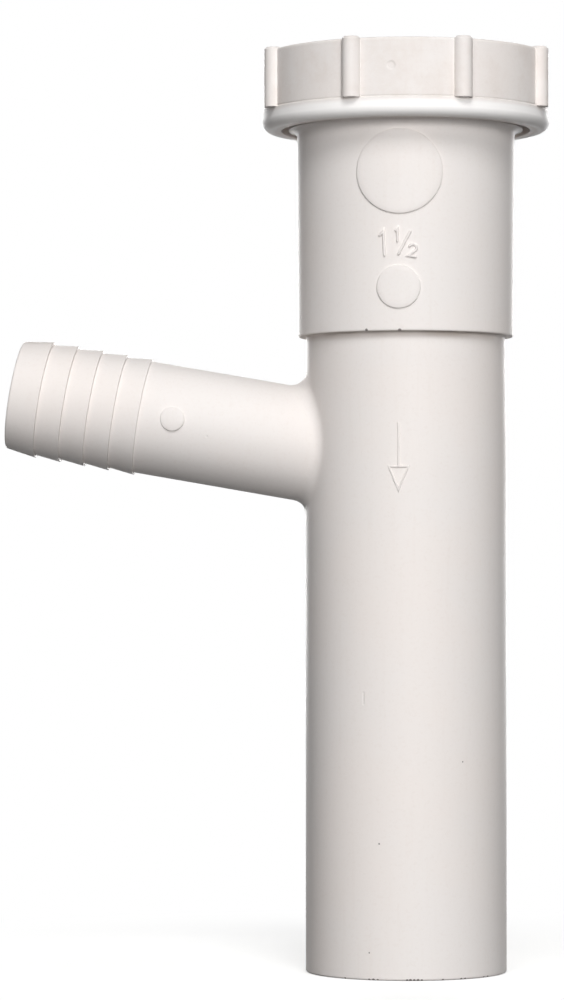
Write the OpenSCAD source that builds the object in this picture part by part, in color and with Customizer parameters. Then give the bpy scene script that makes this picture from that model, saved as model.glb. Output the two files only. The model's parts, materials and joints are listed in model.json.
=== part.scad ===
// Slip-joint tailpiece with an inclined, barbed branch for a dishwasher drain hose.
// It stands on its foot: +Z runs up the tube's axis and the branch points to -X.
// All lengths are in millimetres, and angles are in degrees.

/* [Tube] */
// Outer diameter of the plain spigot that enters the trap below
tube_od = 38.1; // [36:0.1:39.2]
// Wall of the tube
tube_wall = 1.6; // [1.2:0.1:2.4]
// Height of the tube, from its foot to the step under the socket
tube_len = 120.4; // [114:0.1:200]
// Length of the plain spigot, up to where the moulding's draft starts
spigot_len = 64; // [40:1:70]
// Growth of the tube's diameter from the spigot to the branch
branch_swell = 0.2; // [0:0.05:0.6]
// Loss of the tube's diameter from the branch to the step
neck_draft = 0.5; // [0:0.05:0.8]
// Rounding of the foot's outer edge
foot_round = 0.4; // [0.1:0.1:0.6]

/* [Socket] */
// Outer diameter of the inlet pipe that slides into the socket
pipe_od = 38.1; // [37:0.1:40]
// Wall of the barrel at the step
barrel_wall = 1.25; // [1:0.05:1.5]
// Growth of the barrel's wall from the step up to the head
barrel_draft = 0.25; // [0:0.05:0.5]
// Length of the barrel, from the step to the fillet under the head
barrel_len = 38.1; // [25:0.1:60]
// Thickness of the ledge that stops the inlet pipe
stop_t = 1.6; // [1:0.1:4]
// Rounding of the step's lower edge
step_round = 0.3; // [0.1:0.1:0.6]
// Fillet between the step and the tube
step_fillet = 0.5; // [0.2:0.1:0.8]

/* [Head] */
// Wall of the head at the root of its thread
head_wall = 3.1; // [3:0.1:4]
// Length of the threaded head, above its fillet
head_len = 9.4; // [7:0.1:14]
// Fillet between the barrel and the head
head_fillet = 1.3; // [0.4:0.1:1.5]
// Depth and width of the seat bevel in the head's mouth
mouth_bevel = 2.8; // [2.6:0.1:3]
// Depth of the thread on the head, and of the one in the nut
thread_depth = 1.2; // [1:0.05:1.4]

/* [Branch] */
// Height at which the branch's axis crosses the tube's axis
branch_z = 96.6; // [80:0.1:100]
// Rise of the branch above level
branch_rise = 9.9; // [0:0.1:20]
// Length of the branch, from the tube's axis to its tip
branch_len = 75.8; // [60:0.1:110]
// Outer diameter of the branch's plain neck
neck_d = 21.5; // [19:0.1:21.6]
// Bore of the branch
branch_bore = 16.5; // [12:0.1:17]
// Radius of the fillet where the branch leaves the tube
saddle_r = 2.6; // [1:0.1:4]
// Number of hose barbs
barb_count = 5; // [3:1:6]
// Distance from one barb's crest to the next
barb_pitch = 4.78; // [4:0.01:6]
// Distance from the tip to the first barb's crest
barb_lead = 5.8; // [4:0.1:8]
// Diameter over the barbs' crests
barb_d = 22.4; // [21.8:0.1:24]
// Diameter in the grooves between the barbs
groove_d = 21.3; // [18.5:0.1:21.4]
// Diameter of the tip, before its rounding
tip_d = 20.8; // [18.4:0.1:21]
// Rounding of the tip's outer edge
tip_round = 0.5; // [0.2:0.1:0.8]

/* [Nut] */
// Wall of the nut at its plain panels
nut_wall = 3.3; // [2.8:0.1:5]
// Height of the nut without its lugs' rise
nut_h = 14.5; // [13:0.1:20]
// Thickness of the nut's closed end
flange_t = 2.2; // [1.5:0.1:3]
// Rounding of the closed end's outer edge
nut_round = 0.5; // [0.2:0.1:1]
// Number of lugs
lug_count = 8; // [4:1:10]
// Radius of each half-round lug
lug_r = 1.75; // [1:0.05:2.5]
// Height of the lugs above the closed end
lug_rise = 0.25; // [0:0.05:0.6]
// Bevel of each lug's top edge
lug_ease = 0.4; // [0.2:0.05:0.6]
// Turn of the first lug from the front, towards +X
lug_turn = 24.4; // [0:0.1:45]
// Height of the ring round the open end
ring_h = 3.6; // [3.4:0.1:5]
// Stand of the ring's top edge over the panels
ring_lip = 0.15; // [0.05:0.05:0.2]
// Stand of the ring's widest place over the panels
ring_proud = 0.4; // [0.2:0.05:0.6]
// Rounding of the ring's lower edge
ring_round = 1.6; // [1:0.1:3]

/* [Washer] */
// Thickness of the washer's flat rim
rim_t = 2.4; // [1.5:0.1:3]
// Depth of the washer's bevelled nose
nose_h = 2.4; // [1:0.1:2.5]

/* [Clearances] */
// Gap all round between the inlet pipe and the socket's bore
pipe_clear = 0.15; // [0.1:0.05:0.4]
// Gap all round between the inlet pipe and the washer
grip_clear = 0.08; // [0.06:0.01:0.2]
// Gap all round between the inlet pipe and the nut's closed end
flange_clear = 0.4; // [0.3:0.05:0.8]
// Gap between the washer's bevel and its seat
seat_gap = 0.05; // [0.02:0.01:0.1]
// Gap between the washer's rim and the top of the head
rim_gap = 0.3; // [0.2:0.05:0.6]
// Running play between the washer and the nut
nut_play = 0.08; // [0.02:0.01:0.1]
// Gap between each thread's crest and the root that it runs in
thread_play = 0.2; // [0.1:0.05:0.3]

/* [Hidden] */

// Facets of a full circle, and of one rounded edge
$fn = 96;
ARC_STEPS = 6;
// Facets of the saddle fillet round the branch and across it
SADDLE_TURNS = 72;
SADDLE_STEPS = 8;
// How far the fillet's solid stands over the walls at its rim, and how deep it roots in them
SADDLE_LIP = 0.02;
SADDLE_ROOT = 0.8;
// Overshoot of every cut
CUT = 1;

MOULDED = [0.93, 0.92, 0.90];
SOFT = [0.86, 0.88, 0.88];

// Radii of the tube
spigot_r = tube_od / 2;
bore_r = spigot_r - tube_wall;
swell_r = spigot_r + branch_swell / 2;
neck_r = swell_r - neck_draft / 2;

// Radii and levels of the socket and its head
socket_r = pipe_od / 2 + pipe_clear;
step_r = socket_r + barrel_wall;
barrel_top_r = step_r + barrel_draft;
socket_floor_z = tube_len + stop_t;
barrel_top_z = tube_len + barrel_len;
head_z = barrel_top_z + head_fillet;
head_top_z = head_z + head_len;
head_r = socket_r + head_wall;

// Levels of the washer and the nut
rim_z = head_top_z + rim_gap;
rim_top_z = rim_z + rim_t;
flange_z = rim_top_z + nut_play;
nut_top_z = flange_z + flange_t;
nut_z = nut_top_z - nut_h;
ring_top_z = nut_z + ring_h;

// Radii of the washer and the nut
nut_bore_r = head_r + thread_depth + thread_play;
panel_r = nut_bore_r + nut_wall;
washer_in_r = pipe_od / 2 + grip_clear;
washer_out_r = nut_bore_r - nut_play;
ring_r = panel_r + ring_proud;

// Points of a rounded convex corner: centre, radius, first and last angle
function arc(c, r, from, to, steps = ARC_STEPS) =
    [for (i = [0:steps]) c + r * [cos(from + (to - from) * i / steps), sin(from + (to - from) * i / steps)]];

// Outer form of the tube, the barrel and the head, turned about the tube's axis
module outer_form() {
    rotate_extrude()
        polygon(concat(
            [[0, 0]],
            arc([spigot_r - foot_round, foot_round], foot_round, -90, 0),
            [[spigot_r, spigot_len],
             [swell_r, branch_z],
             [neck_r, tube_len - step_fillet]],
            arc([neck_r + step_fillet, tube_len - step_fillet], step_fillet, 180, 90),
            arc([step_r - step_round, tube_len + step_round], step_round, -90, 0),
            [[barrel_top_r, barrel_top_z]],
            arc([barrel_top_r + head_fillet, barrel_top_z], head_fillet, 180, 90),
            [[head_r, head_z],
             [head_r, head_top_z],
             [0, head_top_z]]
        ));
}

// Waterway through the foot, the pipe stop, the socket and its bevelled mouth
module waterway() {
    rotate_extrude()
        polygon([
            [0, -CUT],
            [bore_r, -CUT],
            [bore_r, socket_floor_z],
            [socket_r, socket_floor_z],
            [socket_r, head_top_z - mouth_bevel],
            [socket_r + mouth_bevel, head_top_z],
            [socket_r + mouth_bevel, head_top_z + CUT],
            [0, head_top_z + CUT]
        ]);
}

// Puts children on the branch's axis, with +Z pointing to its tip
module on_branch() {
    translate([0, 0, branch_z])
        rotate([0, branch_rise - 90, 0])
            children();
}

// One barb: a steep face towards the tube and a slope towards the tip
function barb(crest, end, end_r) = [[barb_d / 2, crest], [end_r, end]];

// Distance of a barb's crest from the tube's axis, counted from the tube's side
function crest_at(i) = branch_len - barb_lead - (barb_count - 1 - i) * barb_pitch;

// Outer form of the branch with its row of barbs
module branch_form() {
    rotate_extrude()
        polygon(concat(
            [[0, 0],
             [neck_d / 2, 0],
             [neck_d / 2, crest_at(0)]],
            [for (i = [0:barb_count - 2]) each barb(crest_at(i), crest_at(i + 1), groove_d / 2)],
            [[barb_d / 2, crest_at(barb_count - 1)]],
            arc([tip_d / 2 - tip_round, branch_len - tip_round], tip_round, 0, 90),
            [[0, branch_len]]
        ));
}

// Directions of the branch: along its axis, and up across it
along = [-cos(branch_rise), 0, sin(branch_rise)];
across = [sin(branch_rise), 0, cos(branch_rise)];

// Outward direction at an angle round the branch
function round_branch(a) = cos(a) * across + sin(a) * [0, 1, 0];

// Point at a distance from the branch's axis and a distance from the tube's axis
function crossing(a, from_branch, from_tube) =
    let (side = from_branch * round_branch(a),
         reach = (sqrt(from_tube ^ 2 - side.y ^ 2) + side.x) / -along.x)
    [0, 0, branch_z] + side + reach * along;

// Outward direction of the tube at a point
function round_tube(p) = [p.x, p.y, 0] / norm([p.x, p.y]);

// Step between two unit directions at an even rate
function turn_between(u, v, t) =
    let (angle = acos(u * v))
    (sin(angle * (1 - t)) * u + sin(angle * t) * v) / sin(angle);

// Cross-section of the fillet that a ball would roll between the branch and the tube
function saddle_section(a) =
    let (centre = crossing(a, neck_d / 2 + saddle_r, swell_r + saddle_r),
         to_branch = -round_branch(a),
         to_tube = -round_tube(centre),
         reach = saddle_r - SADDLE_LIP)
    concat(
        [for (i = [0:SADDLE_STEPS]) centre + reach * turn_between(to_branch, to_tube, i / SADDLE_STEPS)],
        [centre + (saddle_r + SADDLE_ROOT) * to_tube,
         crossing(a, neck_d / 2 - SADDLE_ROOT, swell_r - SADDLE_ROOT),
         centre + (saddle_r + SADDLE_ROOT) * to_branch]
    );

// Ring-shaped solid of the fillet round the foot of the branch
module saddle_fillet() {
    rows = SADDLE_STEPS + 4;
    points = [for (j = [0:SADDLE_TURNS - 1]) each saddle_section(j * 360 / SADDLE_TURNS)];
    faces = [
        for (j = [0:SADDLE_TURNS - 1], i = [0:rows - 1])
            let (next_j = (j + 1) % SADDLE_TURNS,
                 next_i = (i + 1) % rows,
                 a = j * rows + i,
                 b = j * rows + next_i,
                 c = next_j * rows + next_i,
                 d = next_j * rows + i)
            each [[a, b, c], [a, c, d]]
    ];
    polyhedron(points, faces);
}

// The one-piece moulding: tube, socket, threaded head's core and barbed branch
module tailpiece_body() {
    color(MOULDED)
        difference() {
            union() {
                outer_form();
                on_branch() branch_form();
                saddle_fillet();
            }
            waterway();
            on_branch() cylinder(d = branch_bore, h = branch_len + CUT);
        }
}

// Soft ring between the nut's closed end and the head's bevelled mouth
module slip_washer() {
    // Radius of the seat bevel at the level of the rim's underside, less the gap to the seat
    nose_r = socket_r + mouth_bevel + rim_gap - seat_gap * sqrt(2);
    color(SOFT)
        rotate_extrude()
            polygon([
                [washer_in_r, rim_z - nose_h],
                [nose_r - nose_h, rim_z - nose_h],
                [nose_r, rim_z],
                [washer_out_r, rim_z],
                [washer_out_r, rim_top_z],
                [washer_in_r, rim_top_z]
            ]);
}

// One half-round lug on the nut's front, with its top edge eased
module lug() {
    low_z = ring_top_z - ring_lip;
    top_z = nut_top_z + lug_rise;
    translate([0, -panel_r, 0])
        rotate_extrude()
            polygon([
                [0, low_z],
                [lug_r, low_z],
                [lug_r, top_z - lug_ease],
                [lug_r - lug_ease, top_z],
                [0, top_z]
            ]);
}

// Lugged nut, closed at the top and open at the bottom
module slip_nut() {
    color(MOULDED)
        difference() {
            union() {
                rotate_extrude()
                    polygon(concat(
                        [[0, nut_z]],
                        arc([ring_r - ring_round, nut_z + ring_round], ring_round, -90, 0, 12),
                        [[panel_r + ring_lip, ring_top_z - ring_lip],
                         [panel_r, ring_top_z]],
                        arc([panel_r - nut_round, nut_top_z - nut_round], nut_round, 0, 90),
                        [[0, nut_top_z]]
                    ));
                for (i = [0:lug_count - 1])
                    rotate([0, 0, lug_turn + i * 360 / lug_count])
                        lug();
            }
            translate([0, 0, nut_z - CUT])
                cylinder(r = nut_bore_r, h = flange_z - nut_z + CUT);
            translate([0, 0, flange_z - CUT])
                cylinder(r = pipe_od / 2 + flange_clear, h = flange_t + lug_rise + 2 * CUT);
        }
}

tailpiece_body();
slip_washer();
slip_nut();
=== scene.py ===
"""Finishes, raised marks, threads and a pale studio for a slip-joint tailpiece with a barbed branch."""

import json
import math

import bpy
from bpy.props import FloatProperty, FloatVectorProperty, PointerProperty
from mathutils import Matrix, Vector
from mathutils.bvhtree import BVHTree


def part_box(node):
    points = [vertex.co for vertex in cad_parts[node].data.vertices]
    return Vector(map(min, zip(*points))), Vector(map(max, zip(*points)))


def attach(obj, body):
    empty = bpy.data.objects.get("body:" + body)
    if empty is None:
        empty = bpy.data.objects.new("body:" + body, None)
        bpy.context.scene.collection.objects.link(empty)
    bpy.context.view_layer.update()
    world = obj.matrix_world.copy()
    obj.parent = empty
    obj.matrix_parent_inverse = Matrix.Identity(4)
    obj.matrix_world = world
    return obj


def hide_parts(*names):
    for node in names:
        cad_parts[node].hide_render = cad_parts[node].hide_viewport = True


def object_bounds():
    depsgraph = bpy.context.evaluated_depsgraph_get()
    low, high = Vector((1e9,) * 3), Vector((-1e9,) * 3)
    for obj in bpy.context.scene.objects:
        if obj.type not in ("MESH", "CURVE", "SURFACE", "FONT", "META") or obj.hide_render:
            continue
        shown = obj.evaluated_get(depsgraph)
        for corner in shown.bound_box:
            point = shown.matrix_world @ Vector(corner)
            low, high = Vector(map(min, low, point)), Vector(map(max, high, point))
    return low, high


bl_info = {
    "name": "Branch tailpiece dresser",
    "version": (1, 0, 0),
    "blender": (4, 5, 0),
    "location": "View3D > Sidebar > Tailpiece",
    "description": "Dresses a moulded branch tailpiece and lights it on a pale floor",
    "category": "Object",
}

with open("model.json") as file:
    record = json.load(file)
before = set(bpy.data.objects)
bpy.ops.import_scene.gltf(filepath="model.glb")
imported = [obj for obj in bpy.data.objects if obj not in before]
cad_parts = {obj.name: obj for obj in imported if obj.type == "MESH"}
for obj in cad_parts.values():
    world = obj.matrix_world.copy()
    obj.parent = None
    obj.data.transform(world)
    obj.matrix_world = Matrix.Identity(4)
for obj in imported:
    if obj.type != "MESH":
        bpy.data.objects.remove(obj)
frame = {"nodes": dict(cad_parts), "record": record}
CAD_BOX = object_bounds()

MM = 0.001
UP = Vector((0, 0, 1))
RIGHT = Vector((1, 0, 0))
FRONT = Vector((0, -1, 0))
WHITE = (1, 1, 1, 1)
MOUNTS = {mount["name"]: mount for mount in frame["record"]["mounts"]}


# Places on the moulding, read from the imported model

def mount_place(name):
    """The place and the axis of one of the record's mounts."""
    mount = MOUNTS[name]
    return Vector(mount["pos_m"]), Vector(mount["axis"]).normalized()


TIP, BRANCH_AXIS = mount_place("hose_barb")
BRANCH_LENGTH = TIP.x / BRANCH_AXIS.x
BRANCH_FOOT = TIP - BRANCH_AXIS * BRANCH_LENGTH
BRANCH_TOP = BRANCH_AXIS.cross(FRONT)
HEAD_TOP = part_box("tailpiece_body")[1].z
NUT_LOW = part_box("slip_nut")[0]

# The nut's bore lies this far outside the washer
NUT_PLAY = 0.08 * MM
NUT_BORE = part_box("slip_washer")[1].x + NUT_PLAY

# Levels of the barrel's lower edge and of the branch's root
STEP_LEVEL = 120.4 * MM
ROOT_LEVEL = 96.6 * MM

# The fillet at the root stays within this span up and down. Its rim stands a little proud of the wall at the
# root's level. It is let down onto the wall, with a fade outwards from the rim.
ROOT_SPAN = 20.0 * MM
RIM_PROUD = 0.02 * MM
RIM_FADE = 2.0 * MM

# Height of the nut's ring and radius of the nut's panels
RING_HEIGHT = 3.6 * MM
PANEL_RADIUS = 27.0 * MM


def round_spots(*rows):
    """Round spots on the surface. Each row holds X, Y, Z and a radius in millimetres."""
    return [((x * MM, y * MM, z * MM), radius * MM) for x, y, z, radius in rows]


# Dark spots: three flecks in the moulding on the tube, two dark spots at the step, and along the edge of the
# foot a row of painted contact shadow, dark dashes where the foot meets the floor
SPECKS_AND_FOOT_SHADOW = round_spots(
    (-4.6, -18.49, 25.3, 0.2),
    (-6.46, -17.92, 5.1, 0.18),
    (10.88, -15.64, 40.4, 0.18),
    (-6.88, -19.2, 120.6, 0.34),
    (-0.69, -20.39, 120.45, 0.42),
    (-11.05, -15.52, 0.1, 0.28),
    (-6.5, -17.9, 0.1, 0.29),
    (-5.7, -18.18, 0.1, 0.36),
    (-4.9, -18.4, 0.1, 0.28),
    (0.6, -19.04, 0.1, 0.33),
    (1.2, -19.01, 0.1, 0.39),
    (1.9, -18.95, 0.1, 0.36),
    (2.6, -18.87, 0.1, 0.39),
    (3.3, -18.76, 0.1, 0.31),
    (7.2, -17.64, 0.1, 0.28),
    (10.6, -15.83, 0.1, 0.31),
    (11.3, -15.34, 0.1, 0.28),
    (14.8, -12.0, 0.1, 0.28),
    (15.5, -11.07, 0.1, 0.31),
)

# Shallow dents: an upright scratch on the tube, a nick on its right and a mark on the branch's neck
SCRATCH = [(-7.53, -17.5, 51.2 + 0.2 * i, 0.27) for i in range(11)]
DENTS = round_spots(*SCRATCH, (18.55, -4.53, 78.9, 0.5), (-37.2, -10.5, 101.2, 0.3))

# The gate's small dent in the nut's front panel
GATE = round_spots((-2.1, -26.92, 168.9, 0.95))

# Share of a spot's radius that shows at full strength
SPOT_CORE = 0.55

# The lamps: azimuth and elevation in degrees, and the studio's size that holds the power
LAMPS = {
    "key_lamp": (13, 42, "key"),
    "left_lamp": (-13, 42, "left"),
    "front_lamp": (9, 7, "front"),
    "top_lamp": (0, 85, "top"),
    "right_back_lamp": (168, 6, "back"),
    "left_back_lamp": (-166, 6, "back"),
}
LAMP_AIM = Vector((-10 * MM, 0, 95 * MM))
LAMP_DISTANCE = 3.0
LAMP_WIDTH = 1.1

# The floor lies this far under the part. It turns from shadowed paper to plain white between two distances.
FLOOR_GAP = 0.02 * MM
FLOOR_FADE = (30 * MM, 140 * MM)


class Wall:
    """The outer face of a moulded piece. Across is a length to the side of its axis, and along one up it."""

    def __init__(self, node, foot, axis, side, reach):
        mesh = frame["nodes"][node].data
        points = [v.co for v in mesh.vertices]
        self.tree = BVHTree.FromPolygons(points, [p.vertices for p in mesh.polygons])
        self.foot = foot
        self.axis = axis
        self.side = side
        self.reach = reach

    def radius(self, direction, along):
        """Distance from the axis to the outer face, in one direction."""
        start = self.foot + self.axis * along + direction * self.reach
        hit = self.tree.ray_cast(start, -direction, self.reach)
        if hit[0] is None:
            raise RuntimeError(f"no wall at {along:.4f} along the axis")
        return self.reach - hit[3]

    def point(self, across, along, lift):
        """A point on the face, lifted off it."""
        angle = math.asin(across / self.radius(FRONT, along))
        direction = FRONT * math.cos(angle) + self.side * math.sin(angle)
        return self.foot + self.axis * along + direction * (self.radius(direction, along) + lift)


# Shader arithmetic

class Value:
    """A socket that carries one number, used in plain arithmetic."""

    def __init__(self, tree, socket):
        self.tree = tree
        self.socket = socket

    def _join(self, operation, *terms):
        node = self.tree.nodes.new("ShaderNodeMath")
        node.operation = operation
        for socket, term in zip(node.inputs, terms):
            fill(self.tree, socket, term)
        return Value(self.tree, node.outputs[0])

    def __add__(self, other):
        return self._join("ADD", self, other)

    def __radd__(self, other):
        return self._join("ADD", other, self)

    def __sub__(self, other):
        return self._join("SUBTRACT", self, other)

    def __rsub__(self, other):
        return self._join("SUBTRACT", other, self)

    def __mul__(self, other):
        return self._join("MULTIPLY", self, other)

    def __rmul__(self, other):
        return self._join("MULTIPLY", other, self)

    def __abs__(self):
        return self._join("ABSOLUTE", self)

    def highest(self, other):
        """The greater of two numbers."""
        return self._join("MAXIMUM", self, other)


def fill(tree, socket, term):
    """Links a value to a socket, or writes a plain number or colour there."""
    if isinstance(term, Value):
        tree.links.new(term.socket, socket)
    elif isinstance(term, bpy.types.NodeSocket):
        tree.links.new(term, socket)
    else:
        socket.default_value = term


class Finish:
    """The nodes of a new material or world, and the means to add to them."""

    def __init__(self, owner):
        self.owner = owner
        self.owner.use_nodes = True
        self.tree = owner.node_tree
        self.tree.nodes.clear()

    def node(self, kind, settings=None, inputs=None):
        """Adds a node. Its settings are set first, then its inputs by name or number."""
        node = self.tree.nodes.new(kind)
        for name, setting in (settings or {}).items():
            setattr(node, name, setting)
        for name, term in (inputs or {}).items():
            fill(self.tree, node.inputs[name], term)
        return node

    def value(self, node, output=0):
        """A node's output, for arithmetic."""
        return Value(self.tree, node.outputs[output])

    def place(self):
        """The point on the piece, in metres in the model's frame."""
        return self.node("ShaderNodeTexCoord").outputs["Object"]

    def parts(self, vector):
        """The three numbers of a vector."""
        node = self.node("ShaderNodeSeparateXYZ", None, {0: vector})
        return [self.value(node, i) for i in range(3)]

    def noise(self, place, scale, detail=2.0, roughness=0.5, stretch=(1, 1, 1)):
        """Soft noise from 0 to 1, with a number of spots in each metre."""
        moved = self.node("ShaderNodeVectorMath", {"operation": "MULTIPLY"}, {0: place, 1: stretch})
        inputs = {"Vector": moved.outputs[0], "Scale": scale, "Detail": detail, "Roughness": roughness}
        return self.value(self.node("ShaderNodeTexNoise", None, inputs))

    def between(self, value, low, high):
        """0 below low, 1 above high, and a smooth rise from one to the other."""
        settings = {"interpolation_type": "SMOOTHSTEP", "clamp": True}
        return self.value(self.node("ShaderNodeMapRange", settings, {"Value": value, 1: low, 2: high}))

    def mix(self, factor, first, second):
        """A colour between two colours."""
        settings = {"data_type": "RGBA", "clamp_factor": True}
        node = self.node("ShaderNodeMix", settings, {0: factor, 6: first, 7: second})
        return node.outputs[2]

    def spots(self, place, spots):
        """1 inside round spots, each a place and a radius, and 0 away from them."""
        mask = None
        for centre, radius in spots:
            apart = self.node("ShaderNodeVectorMath", {"operation": "DISTANCE"}, {0: place, 1: centre})
            spot = 1.0 - self.between(Value(self.tree, apart.outputs["Value"]), radius * SPOT_CORE, radius)
            mask = spot if mask is None else mask.highest(spot)
        return mask

    def background_rays(self):
        """1 where the background shows: straight to the camera, in a reflection or through glass."""
        path = self.node("ShaderNodeLightPath")
        seen = self.value(path, "Is Camera Ray").highest(self.value(path, "Is Glossy Ray"))
        return seen.highest(self.value(path, "Is Transmission Ray"))

    def close(self, shader):
        """Ends the material in one shader."""
        self.node("ShaderNodeOutputMaterial", None, {"Surface": shader.outputs[0]})
        return self.owner


def rgba(colour):
    """A colour with full alpha."""
    return (*colour, 1.0)


class Grain:
    """The noises and places that the plastic's colour, roughness and relief share."""

    def __init__(self, finish, look):
        self.place = finish.place()
        self.x, self.y, self.z = finish.parts(self.place)
        self.clouds = finish.noise(self.place, look.cloud_scale, detail=3.0)
        self.flow = finish.noise(self.place, 900.0, roughness=0.6, stretch=(1, 1, 0.06))
        self.mottle = finish.noise(self.place, 1600.0, roughness=0.6)

    def square_radius(self):
        """The square of the distance from the tube's axis."""
        return self.x * self.x + self.y * self.y


def plastic_colour(finish, grain, look, specks_and_foot_shadow, ring, step):
    """The plastic's colour, from its clouds to its dark flecks, with a painted highlight on a ring, painted
    shadow under a step and painted contact shadow along the foot.
    """
    shade = rgba(look.shade)
    colour = finish.mix(finish.between(grain.clouds, 0.35, 0.65), rgba(look.warm), rgba(look.cool))
    colour = finish.mix(finish.between(grain.flow, 0.52, 0.8) * look.streak, colour, shade)
    colour = finish.mix(finish.between(grain.mottle, 0.5, 0.75) * look.mottle, colour, shade)
    if ring:
        level, radius = ring
        stains = finish.between(finish.noise(grain.place, 160.0, detail=5.0, roughness=0.65), 0.4, 0.75)
        colour = finish.mix(stains * look.stain, colour, shade)
        # Painted highlight: the ring's outer face below its level is painted paler
        outside = finish.between(grain.square_radius(), (radius - 2.5 * MM) ** 2, (radius - 1.5 * MM) ** 2)
        below = finish.between(grain.z, level, level - 1.2 * MM)
        colour = finish.mix(below * outside, colour, rgba(look.pale))
    # Painted shadow: brown patches painted on the wall just under the step
    if step:
        patches = finish.between(finish.noise(grain.place, 60.0), 0.2, 0.6)
        near = finish.between(grain.z, step - 1.6 * MM, step - 0.2 * MM)
        over = finish.between(grain.z, step, step + 0.06 * MM)
        colour = finish.mix(near * (1.0 - over) * patches * look.painted_step_shadow_strength, colour, rgba(look.painted_step_shadow))
    # Dark flecks, and painted contact shadow along the foot's edge
    if specks_and_foot_shadow:
        colour = finish.mix(finish.spots(grain.place, specks_and_foot_shadow) * look.speck_and_shadow_strength, colour, rgba(look.speck_and_shadow))
    return colour


def plastic_height(finish, grain, look, dents, seam, ring):
    """The plastic's fine relief, where 1 is the depth of a peel."""
    peel = finish.noise(grain.place, 1100.0)
    height = peel * 0.6 + grain.flow * 0.4
    if seam:
        line = 1.0 - finish.between(abs(grain.y), 0.05 * MM, 0.16 * MM)
        height = height + line * look.seam
    if dents:
        height = height - finish.spots(grain.place, dents) * look.dent
    if ring:
        level, radius = ring
        groove = 1.0 - finish.between(abs(grain.z - level), 0.0, 0.32 * MM)
        panel = 1.0 - finish.between(grain.square_radius(), radius ** 2, (radius + 0.3 * MM) ** 2)
        height = height - groove * panel * look.dent
    return height


def moulded_plastic(name, look, specks_and_foot_shadow=(), dents=(), seam=False, ring=None, step=None):
    """Satin white plastic, as it comes from a mould: faint clouds and flow lines, fine pits and eased edges.

    A seam is the mould's parting line. Below a ring's level the outer face is painted paler, a painted
    highlight, with a fine groove between it and the panels over it, and they are stained a little. The ring
    is given by the groove's level and the panels' radius. A painted brown shadow lies in patches on the wall
    right under a step, which is given by its level.
    """
    finish = Finish(bpy.data.materials.new(name))
    grain = Grain(finish, look)
    colour = plastic_colour(finish, grain, look, specks_and_foot_shadow, ring, step)
    height = plastic_height(finish, grain, look, dents, seam, ring)
    roughness = look.roughness + (grain.mottle - 0.5) * 0.12 + (grain.clouds - 0.5) * 0.08
    eased = finish.node("ShaderNodeBevel", {"samples": 6}, {"Radius": look.edge * MM}).outputs[0]
    inputs = {"Strength": 0.35, "Distance": look.peel * MM, "Height": height, "Normal": eased}
    bumped = finish.node("ShaderNodeBump", None, inputs).outputs[0]
    inputs = {"Base Color": colour, "Roughness": roughness, "Specular IOR Level": 0.12, "Normal": bumped}
    return finish.close(finish.node("ShaderNodeBsdfPrincipled", None, inputs))


# Meshes

# How deep the edges of raised marks go into the wall, the width of a plate's eased rim, and the distance
# between the points along a stroke
SINK = 0.1 * MM
PLATE_RIM = 0.16 * MM
STROKE_STEP = 0.35 * MM

# Steps in one turn of a thread, and steps over which each of its ends fades out
TURN_STEPS = 60
FADE_STEPS = 12


def add_piece(name, points, faces, material, body):
    """A new smooth piece, made where it stands, which rides on one body."""
    mesh = bpy.data.meshes.new(name)
    mesh.from_pydata([tuple(p) for p in points], [], faces)
    mesh.validate()
    mesh.shade_smooth()
    mesh.materials.append(material)
    piece = bpy.data.objects.new(name, mesh)
    bpy.context.scene.collection.objects.link(piece)
    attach(piece, body)
    return piece


def rows_of_faces(count, width, ring=False, wrap=False):
    """Faces between rows of points: ring joins the last row to the first, and wrap each row's ends."""
    faces = []
    for j in range(count if ring else count - 1):
        k = (j + 1) % count
        for i in range(width if wrap else width - 1):
            n = (i + 1) % width
            faces.append((j * width + i, j * width + n, k * width + n, k * width + i))
    return faces


def raised_plate(name, wall, centre, radius, height, material):
    """A bare round plate that follows the wall, with an eased rim."""
    inner = radius - PLATE_RIM
    eased = radius - PLATE_RIM * 0.3
    profile = [(radius + 0.04 * MM, -SINK), (radius, height * 0.55), (eased, height * 0.88)]
    rounds = max(2, round(inner / MM))
    profile += [(inner * (rounds - i) / rounds, height) for i in range(rounds)]
    turns = 72
    points = []
    for distance, lift in profile:
        for i in range(turns):
            angle = 2 * math.pi * i / turns
            across = centre[0] + distance * math.cos(angle)
            points.append(wall.point(across, centre[1] + distance * math.sin(angle), lift))
    faces = rows_of_faces(len(profile), turns, wrap=True)
    last = (len(profile) - 1) * turns
    points.append(wall.point(centre[0], centre[1], height))
    faces += [(last + i, last + (i + 1) % turns, len(points) - 1) for i in range(turns)]
    return add_piece(name, points, faces, material, "tailpiece")


def resample(path, step):
    """Points at most one step apart along a path of straight stretches, corners included."""
    found = [Vector(path[0])]
    for a, b in zip(path, path[1:]):
        a, b = Vector(a), Vector(b)
        count = max(1, math.ceil((b - a).length / step))
        found += [a.lerp(b, i / count) for i in range(1, count + 1)]
    return found


def miters(path, closed):
    """The sideways direction at each point of a flat path, longer at its corners."""
    found = []
    count = len(path)
    for i, point in enumerate(path):
        before = path[(i - 1) % count] if closed or i else point
        after = path[(i + 1) % count] if closed or i < count - 1 else point
        first = (point - before).normalized() if point != before else (after - point).normalized()
        second = (after - point).normalized() if point != after else first
        middle = (first + second).normalized()
        side = Vector((-middle.y, middle.x))
        found.append(side / max(0.4, side.dot(Vector((-first.y, first.x)))))
    return found


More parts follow.
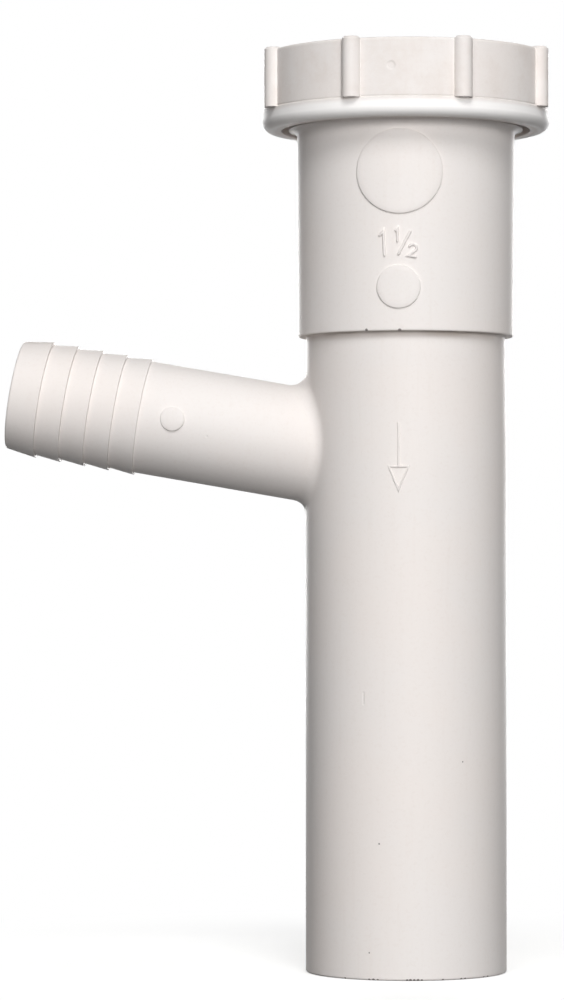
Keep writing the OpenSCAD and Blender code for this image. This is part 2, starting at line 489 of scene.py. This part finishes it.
def raised_line(wall, path, half_width, height, closed=False):
    """Points and faces of one raised stroke along a flat path on the wall."""
    slope = [(1.15, -SINK), (1.0, height * 0.35), (0.75, height * 0.8), (0.35, height)]
    section = [(-across, lift) for across, lift in slope] + slope[::-1]
    line = resample([*path, path[0]] if closed else path, STROKE_STEP)
    if closed:
        line = line[:-1]
    sides = miters(line, closed)
    rows = [(p, s, 1.0) for p, s in zip(line, sides)]

    # Shares of the width at the tip and the shoulder of an open end, and of the height at its tip
    tip, shoulder, tip_lift = 0.05, 0.7, 0.3
    if not closed:
        start = (line[0] - line[1]).normalized() * half_width
        end = (line[-1] - line[-2]).normalized() * half_width
        rows = [(line[0] + start, sides[0], tip), (line[0] + start * shoulder, sides[0], shoulder), *rows]
        rows += [(line[-1] + end * shoulder, sides[-1], shoulder), (line[-1] + end, sides[-1], tip)]
    points = []
    for point, side, share in rows:
        for across, lift in section:
            flat = point + side * across * half_width * share
            points.append(wall.point(flat.x, flat.y, lift if share > tip else lift * tip_lift))
    return points, rows_of_faces(len(rows), len(section), ring=closed)


def raised_lines(name, wall, lines, half_width, height, material):
    """Several raised strokes joined into one piece. Each line is a path and whether it is closed."""
    points, faces = [], []
    for path, closed in lines:
        more_points, more_faces = raised_line(wall, path, half_width, height, closed)
        faces += [tuple(i + len(points) for i in face) for face in more_faces]
        points += more_points
    return add_piece(name, points, faces, material, "tailpiece")


def arc(centre, radius, start, end, steps=10):
    """Points on an arc, from one angle to another in degrees."""
    angles = [math.radians(start + (end - start) * i / steps) for i in range(steps + 1)]
    return [(centre[0] + radius[0] * math.cos(a), centre[1] + radius[1] * math.sin(a)) for a in angles]


def thread_ridge(name, root, crest, levels, pitch, phase, material, body):
    """A helical thread on a round wall, from its root radius to its crest, which fades out at both ends."""
    low, high = levels
    steps = int((high - low) / pitch * TURN_STEPS)
    half_root, half_crest = 0.355 * pitch, 0.09 * pitch
    sink = 0.06 * MM if crest > root else -0.06 * MM
    points = []
    for i in range(steps + 1):
        angle = phase + 2 * math.pi * i / TURN_STEPS
        share = min(1.0, i / FADE_STEPS, (steps - i) / FADE_STEPS)
        z = low + pitch * i / TURN_STEPS
        top = root + (crest - root) * max(share, 0.02)
        width = half_crest + (half_root - half_crest) * (1 - share)
        for radius, dz in ((root - sink, -half_root), (top, -width), (top, width), (root - sink, half_root)):
            points.append((radius * math.cos(angle), radius * math.sin(angle), z + dz))
    faces = rows_of_faces(steps + 1, 4)
    return add_piece(name, points, faces, material, body)


# Sizes and colours that a user would change

class MarkSizes(bpy.types.PropertyGroup):
    """Raised marks on the moulding. Across is measured to the right of the axis, and height from the foot."""

    relief: FloatProperty(
        name="Relief", description="Height of the plates over the wall", default=0.38 * MM, unit="LENGTH"
    )
    large_plate: FloatProperty(name="Large plate", description="Diameter", default=15.9 * MM, unit="LENGTH")
    large_across: FloatProperty(
        name="Large plate across", description="Place to the right of the axis",
        default=-0.7 * MM, unit="LENGTH",
    )
    large_height: FloatProperty(
        name="Large plate height", description="Place up the barrel", default=150.06 * MM, unit="LENGTH"
    )
    small_plate: FloatProperty(name="Small plate", description="Diameter", default=8.1 * MM, unit="LENGTH")
    small_across: FloatProperty(
        name="Small plate across", description="Place to the right of the axis",
        default=-0.89 * MM, unit="LENGTH",
    )
    small_height: FloatProperty(
        name="Small plate height", description="Place up the barrel", default=128.55 * MM, unit="LENGTH"
    )
    neck_plate: FloatProperty(name="Neck plate", description="Diameter", default=4.6 * MM, unit="LENGTH")
    neck_across: FloatProperty(
        name="Neck plate across", description="Place up the neck's side", default=0.3 * MM, unit="LENGTH"
    )
    neck_along: FloatProperty(
        name="Neck plate place", description="Distance from the tube's axis",
        default=44.43 * MM, unit="LENGTH",
    )
    line: FloatProperty(
        name="Figure stroke", description="Width of the figure's strokes", default=0.52 * MM, unit="LENGTH"
    )
    line_relief: FloatProperty(
        name="Figure relief", description="Height of the strokes", default=0.38 * MM, unit="LENGTH"
    )
    arrow_relief: FloatProperty(
        name="Arrow relief", description="Height of the arrow", default=0.22 * MM, unit="LENGTH"
    )
    arrow_line: FloatProperty(
        name="Arrow stroke", description="Width of the arrow's strokes", default=0.4 * MM, unit="LENGTH"
    )


class ThreadSizes(bpy.types.PropertyGroup):
    """The slip joint's thread, between the moulding's head and the nut."""

    pitch: FloatProperty(
        name="Pitch", description="Lift in one turn", default=25.4 / 11.5 * MM, unit="LENGTH"
    )
    depth: FloatProperty(name="Depth", description="Height of each ridge", default=1.2 * MM, unit="LENGTH")


class PlasticLook(bpy.types.PropertyGroup):
    """Colours and surface of the white plastic."""

    warm: FloatVectorProperty(
        name="Warm tone", description="Main colour", subtype="COLOR", default=(0.850, 0.795, 0.762)
    )
    cool: FloatVectorProperty(
        name="Cool tone", description="Colour of the clouds", subtype="COLOR", default=(0.842, 0.800, 0.775)
    )
    shade: FloatVectorProperty(
        name="Shade", description="Colour of streaks", subtype="COLOR", default=(0.74, 0.66, 0.61)
    )
    # Painted highlight: a paler colour painted on the nut's ring below its groove
    pale: FloatVectorProperty(
        name="Ring", description="Colour of the nut's ring", subtype="COLOR", default=(0.97, 0.95, 0.935)
    )
    stain: FloatProperty(
        name="Stain", description="Strength of the stains on the nut", default=0.45, subtype="FACTOR"
    )
    # Painted shadow: a brown colour painted in patches on the wall just under the barrel's step
    painted_step_shadow: FloatVectorProperty(
        name="Painted_shadow", description="Colour under the step", subtype="COLOR", default=(0.38, 0.31, 0.26)
    )
    painted_step_shadow_strength: FloatProperty(
        name="Dirt strength", description="Share of the dirt", default=0.7, subtype="FACTOR"
    )
    # Colour of the dark flecks, also used for the painted contact shadow along the foot's edge
    speck_and_shadow: FloatVectorProperty(
        name="Speck", description="Colour of dark specks", subtype="COLOR", default=(0.11, 0.09, 0.08)
    )
    speck_and_shadow_strength: FloatProperty(
        name="Speck strength", description="Share of the specks", default=0.85, subtype="FACTOR"
    )
    cloud_scale: FloatProperty(name="Cloud scale", description="Clouds in a metre", default=38.0)
    streak: FloatProperty(
        name="Streaks", description="Strength of the flow lines", default=0.10, subtype="FACTOR"
    )
    mottle: FloatProperty(
        name="Mottle", description="Strength of the fine mottling", default=0.15, subtype="FACTOR"
    )
    roughness: FloatProperty(name="Roughness", description="Main roughness", default=0.48, subtype="FACTOR")
    peel: FloatProperty(
        name="Peel", description="Depth of the surface's fine waves, in millimetres", default=0.03
    )
    edge: FloatProperty(name="Edge", description="Radius of the eased edges, in millimetres", default=0.25)
    dent: FloatProperty(name="Dents", description="Depth of dents and grooves, in peels", default=14.0)
    seam: FloatProperty(name="Seam", description="Height of the parting line, in peels", default=6.0)


class StudioSizes(bpy.types.PropertyGroup):
    """Camera, lamps and floor."""

    lens: FloatProperty(name="Lens", description="Focal length in millimetres", default=141.9)
    eye: FloatVectorProperty(
        name="Eye", description="Place of the camera", subtype="TRANSLATION", default=(0.016, -0.750, 0.0735)
    )
    aim: FloatVectorProperty(
        name="Aim", description="Centre of the view", subtype="TRANSLATION", default=(-0.0236, 0.0, 0.08945)
    )
    floor: FloatProperty(name="Floor", description="Width of the floor", default=4.0, unit="LENGTH")
    key: FloatProperty(name="Key", description="Power of the high right lamp, in watts", default=26.0)
    left: FloatProperty(name="Left", description="Power of the high left lamp, in watts", default=17.0)
    front: FloatProperty(name="Front", description="Power of the low front lamp, in watts", default=61.0)
    top: FloatProperty(name="Top", description="Power of the lamp overhead, in watts", default=6.0)
    back: FloatProperty(name="Back", description="Power of each lamp behind, in watts", default=42.0)
    ambient: FloatProperty(name="Ambient", description="Light from all round", default=0.03)


# Operators

def finish_node(name, material):
    """Gives a CAD node its material."""
    slots = frame["nodes"][name].data.materials
    slots.clear()
    slots.append(material)


def upright_wall():
    """The outer face of the tube and the barrel."""
    return Wall("tailpiece_body", Vector(), UP, RIGHT, 60 * MM)


def settled_moulding(material):
    """The moulding, with the rim of its branch's fillet let down onto the wall where the tube is narrower."""
    mesh = frame["nodes"]["tailpiece_body"].data.copy()
    mesh.name = "moulding"
    normals = [corner.vector.copy() for corner in mesh.corner_normals]
    wall = upright_wall()
    rim = wall.radius(FRONT, ROOT_LEVEL) + RIM_PROUD
    on_wall = {}
    for vertex in mesh.vertices:
        x, y, z = vertex.co
        radius = math.hypot(x, y)
        if x > 0 or radius > rim + RIM_FADE or abs(z - ROOT_LEVEL) > ROOT_SPAN:
            continue
        level = wall.radius(FRONT, z)
        if radius < level - RIM_PROUD:
            continue
        if radius < rim + RIM_PROUD / 2:
            on_wall[vertex.index] = Vector((x, y, 0)).normalized()
        share = max(0.0, (radius - rim) / RIM_FADE)
        drop = (rim - level) * (1 - share * share * (3 - 2 * share))
        settled = max(level, radius - drop)
        vertex.co = (x * settled / radius, y * settled / radius, z)
    for corner in mesh.loops:
        if corner.vertex_index in on_wall:
            normals[corner.index] = on_wall[corner.vertex_index]
    mesh.normals_split_custom_set(normals)
    mesh.materials.clear()
    mesh.materials.append(material)
    piece = bpy.data.objects.new("moulding", mesh)
    bpy.context.scene.collection.objects.link(piece)
    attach(piece, "tailpiece")
    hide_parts("tailpiece_body")
    return piece


class TAILPIECE_OT_finish_moulding(bpy.types.Operator):
    """Gives the one-piece moulding its white satin plastic"""

    bl_idname = "tailpiece.finish_moulding"
    bl_label = "Finish the moulding"

    def execute(self, context):
        look = context.scene.tailpiece_plastic
        # The flecks include painted contact shadow along the foot, and the step's level places painted shadow
        # under the step
        marks = {"specks_and_foot_shadow": SPECKS_AND_FOOT_SHADOW, "dents": DENTS, "seam": True, "step": STEP_LEVEL}
        material = moulded_plastic("white_moulding", look, **marks)
        finish_node("tailpiece_body", material)
        settled_moulding(material)
        return {"FINISHED"}


class TAILPIECE_OT_finish_nut(bpy.types.Operator):
    """Gives the nut its white satin plastic"""

    bl_idname = "tailpiece.finish_nut"
    bl_label = "Finish the nut"

    def execute(self, context):
        look = context.scene.tailpiece_plastic
        # The ring's level places a painted highlight on the nut's ring
        ring = (NUT_LOW.z + RING_HEIGHT, PANEL_RADIUS)
        finish_node("slip_nut", moulded_plastic("white_nut", look, dents=GATE, ring=ring))
        return {"FINISHED"}


class TAILPIECE_OT_finish_washer(bpy.types.Operator):
    """Gives the soft washer its milky plastic"""

    bl_idname = "tailpiece.finish_washer"
    bl_label = "Finish the washer"

    def execute(self, context):
        look = context.scene.tailpiece_plastic
        finish_node("slip_washer", moulded_plastic("milky_washer", look))
        return {"FINISHED"}


class TAILPIECE_OT_raise_plates(bpy.types.Operator):
    """Raises the three bare round plates on the barrel and on the branch's neck"""

    bl_idname = "tailpiece.raise_plates"
    bl_label = "Raise the plates"

    def execute(self, context):
        marks = context.scene.tailpiece_marks
        barrel = upright_wall()
        neck = Wall("tailpiece_body", BRANCH_FOOT, BRANCH_AXIS, BRANCH_TOP, 30 * MM)
        plates = (
            ("large_plate", barrel, (marks.large_across, marks.large_height), marks.large_plate),
            ("small_plate", barrel, (marks.small_across, marks.small_height), marks.small_plate),
            ("neck_plate", neck, (marks.neck_across, marks.neck_along), marks.neck_plate),
        )
        for name, wall, centre, width in plates:
            raised_plate(name, wall, centre, width / 2, marks.relief, bpy.data.materials["white_moulding"])
        return {"FINISHED"}


class TAILPIECE_OT_raise_figure(bpy.types.Operator):
    """Raises the plain size figure, one and a half, on the barrel"""

    bl_idname = "tailpiece.raise_figure"
    bl_label = "Raise the size figure"

    def execute(self, context):
        marks = context.scene.tailpiece_marks
        one = [(-4.39, 138.14), (-4.07, 138.36), (-3.7, 139.0), (-3.48, 134.4)]
        small_one = [(-1.41, 138.95), (-1.07, 139.3), (-1.11, 137.0)]
        slash = [(1.28, 138.76), (-0.89, 134.6)]
        two = [*arc((1.77, 135.72), (0.7, 0.66), 155, -35, 12), (0.95, 134.26), (2.25, 134.06)]
        strokes = (one, small_one, slash, two)
        lines = [([(across * MM, height * MM) for across, height in path], False) for path in strokes]
        material = bpy.data.materials["white_moulding"]
        raised_lines("size_figure", upright_wall(), lines, marks.line / 2, marks.line_relief, material)
        return {"FINISHED"}


class TAILPIECE_OT_raise_arrow(bpy.types.Operator):
    """Raises the flow arrow on the tube, under the barrel"""

    bl_idname = "tailpiece.raise_arrow"
    bl_label = "Raise the flow arrow"

    def execute(self, context):
        marks = context.scene.tailpiece_marks
        shaft = [(-1.0 * MM, 103.32 * MM), (-0.95 * MM, 95.4 * MM)]
        head = [(-2.72 * MM, 95.25 * MM), (0.86 * MM, 95.25 * MM), (-0.98 * MM, 90.9 * MM)]
        lines = [(shaft, False), (head, True)]
        material = bpy.data.materials["white_moulding"]
        raised_lines("flow_arrow", upright_wall(), lines, marks.arrow_line / 2, marks.arrow_relief, material)
        return {"FINISHED"}


class TAILPIECE_OT_cut_threads(bpy.types.Operator):
    """Adds the slip joint's thread to the head and the nut, half a pitch apart"""

    bl_idname = "tailpiece.cut_threads"
    bl_label = "Cut the threads"

    def execute(self, context):
        thread = context.scene.tailpiece_thread
        levels = (NUT_LOW.z + 1.3 * MM, HEAD_TOP - 0.95 * MM)
        pitch = thread.pitch
        plastic = bpy.data.materials["white_moulding"]
        root = upright_wall().radius(FRONT, HEAD_TOP - 4 * MM)
        crest = root + thread.depth
        thread_ridge("head_thread", root, crest, levels, pitch, 0.0, plastic, "tailpiece")
        plastic = bpy.data.materials["white_nut"]
        crest = NUT_BORE - thread.depth
        thread_ridge("nut_thread", NUT_BORE, crest, levels, pitch, math.pi, plastic, "nut")
        return {"FINISHED"}


def softbox(name, azimuth, elevation, power):
    """A square lamp that looks at the middle of the part. Azimuth 0 is in front, and +X is at 90 degrees."""
    lamp = bpy.data.lights.new(name, "AREA")
    lamp.shape = "SQUARE"
    lamp.size = LAMP_WIDTH
    lamp.energy = power
    a, e = math.radians(azimuth), math.radians(elevation)
    direction = Vector((math.sin(a) * math.cos(e), -math.cos(a) * math.cos(e), math.sin(e)))
    stand = bpy.data.objects.new(name, lamp)
    stand.location = LAMP_AIM + direction * LAMP_DISTANCE
    stand.rotation_euler = direction.to_track_quat("Z", "Y").to_euler()
    stand.visible_camera = False
    bpy.context.scene.collection.objects.link(stand)


def paper_white():
    """The floor's pale paper. The view sees it white, with the part's shadow. It throws little light back."""
    finish = Finish(bpy.data.materials.new("floor_paper"))
    place = finish.place()
    grain = finish.noise(place, 300.0, detail=3.0)
    colour = finish.mix(finish.between(grain, 0.3, 0.7), (0.80, 0.80, 0.79, 1), (0.83, 0.83, 0.82, 1))
    paper = finish.node("ShaderNodeBsdfDiffuse", None, {"Color": colour})
    glow = finish.node("ShaderNodeEmission", None, {"Color": WHITE, "Strength": 0.5})
    near = finish.node("ShaderNodeAddShader", None, {0: paper.outputs[0], 1: glow.outputs[0]})
    far = finish.node("ShaderNodeEmission", None, {"Color": WHITE, "Strength": 1.0})
    apart = finish.node("ShaderNodeVectorMath", {"operation": "LENGTH"}, {0: place}).outputs["Value"]
    fade = finish.between(apart, *FLOOR_FADE)
    seen = finish.node("ShaderNodeMixShader", None, {0: fade, 1: near.outputs[0], 2: far.outputs[0]})
    dim = finish.node("ShaderNodeBsdfDiffuse", None, {"Color": (0.06, 0.06, 0.06, 1)})
    inputs = {0: finish.background_rays(), 1: dim.outputs[0], 2: seen.outputs[0]}
    return finish.close(finish.node("ShaderNodeMixShader", None, inputs))


def white_surround(ambient):
    """A world that shows white in the view and lights the part a little from all round."""
    world = bpy.data.worlds.new("studio_surround")
    surround = Finish(world)
    light = surround.node("ShaderNodeBackground", None, {"Color": (0.93, 0.96, 1.0, 1), "Strength": ambient})
    white = surround.node("ShaderNodeBackground", None, {"Color": WHITE, "Strength": 1.0})
    inputs = {0: surround.background_rays(), 1: light.outputs[0], 2: white.outputs[0]}
    mixed = surround.node("ShaderNodeMixShader", None, inputs)
    surround.node("ShaderNodeOutputWorld", None, {"Surface": mixed.outputs[0]})
    bpy.context.scene.world = world


class TAILPIECE_OT_set_studio(bpy.types.Operator):
    """Sets the camera, the lamps and the pale floor"""

    bl_idname = "tailpiece.set_studio"
    bl_label = "Set the studio"

    def execute(self, context):
        scene = context.scene
        studio = scene.tailpiece_studio
        scene.view_settings.view_transform = "Standard"
        camera = bpy.data.cameras.new("camera")
        camera.lens = studio.lens
        stand = bpy.data.objects.new("camera", camera)
        stand.location = studio.eye
        view = Vector(studio.aim) - Vector(studio.eye)
        stand.rotation_euler = view.to_track_quat("-Z", "Y").to_euler()
        scene.collection.objects.link(stand)
        scene.camera = stand
        half = studio.floor / 2
        low = CAD_BOX[0][2] - FLOOR_GAP
        corners = [(-half, -half, low), (half, -half, low), (half, half, low), (-half, half, low)]
        mesh = bpy.data.meshes.new("floor")
        mesh.from_pydata(corners, [], [(0, 1, 2, 3)])
        mesh.materials.append(paper_white())
        floor = bpy.data.objects.new("floor", mesh)
        scene.collection.objects.link(floor)
        for name, (azimuth, elevation, power) in LAMPS.items():
            softbox(name, azimuth, elevation, getattr(studio, power))
        white_surround(studio.ambient)
        return {"FINISHED"}


STEPS = (
    TAILPIECE_OT_finish_moulding,
    TAILPIECE_OT_finish_nut,
    TAILPIECE_OT_finish_washer,
    TAILPIECE_OT_raise_plates,
    TAILPIECE_OT_raise_figure,
    TAILPIECE_OT_raise_arrow,
    TAILPIECE_OT_cut_threads,
    TAILPIECE_OT_set_studio,
)


class TAILPIECE_PT_steps(bpy.types.Panel):
    """Lists the steps that dress the tailpiece"""

    bl_idname = "TAILPIECE_PT_steps"
    bl_label = "Tailpiece"
    bl_space_type = "VIEW_3D"
    bl_region_type = "UI"
    bl_category = "Tailpiece"

    def draw(self, context):
        for step in STEPS:
            self.layout.operator(step.bl_idname)
        for group_name, group in GROUPS.items():
            box = self.layout.box()
            for name in group.__annotations__:
                box.prop(getattr(context.scene, group_name), name)


GROUPS = {
    "tailpiece_marks": MarkSizes,
    "tailpiece_thread": ThreadSizes,
    "tailpiece_plastic": PlasticLook,
    "tailpiece_studio": StudioSizes,
}


def register():
    """Adds the classes and the scene's groups."""
    for name, group in GROUPS.items():
        bpy.utils.register_class(group)
        setattr(bpy.types.Scene, name, PointerProperty(type=group))
    for step in STEPS:
        bpy.utils.register_class(step)
    bpy.utils.register_class(TAILPIECE_PT_steps)


def unregister():
    """Takes the classes and the scene's groups away."""
    bpy.utils.unregister_class(TAILPIECE_PT_steps)
    for step in reversed(STEPS):
        bpy.utils.unregister_class(step)
    for name, group in GROUPS.items():
        delattr(bpy.types.Scene, name)
        bpy.utils.unregister_class(group)


def run_step(step):
    """Calls one operator by its name."""
    group, name = step.bl_idname.split(".")
    getattr(getattr(bpy.ops, group), name)()


def main():
    """Dresses the part."""
    register()
    for step in STEPS:
        run_step(step)


if __name__ == "__main__":
    main()
